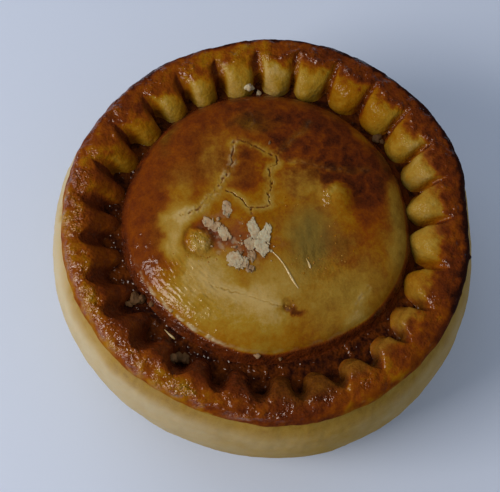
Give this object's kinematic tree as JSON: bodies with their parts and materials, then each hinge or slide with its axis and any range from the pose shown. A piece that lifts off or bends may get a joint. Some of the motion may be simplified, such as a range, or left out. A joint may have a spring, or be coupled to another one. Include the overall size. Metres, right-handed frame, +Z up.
{
  "type": "pork pie",
  "caption": "Hand-raised pork pie with bowed pastry wall, thumb-crimped egg-glazed rim and cracked domed lid; a whole uncut savoury pie.",
  "frame": {"origin": "middle of the flat base, on the surface that the pie stands on", "axes": "+Z up through the middle of the lid; the pie is round, so +X and +Y only fix where its uneven crimps lie"},
  "size_m": [0.1112, 0.11, 0.0521],
  "materials": {
    "crust": "baked hot-water pastry, egg-glazed brown on the rim, crimps and lid, pale and dry on the wall"
  },
  "bodies": {
    "root": {"pork_pie": "crust"}
  },
  "joints": []
}
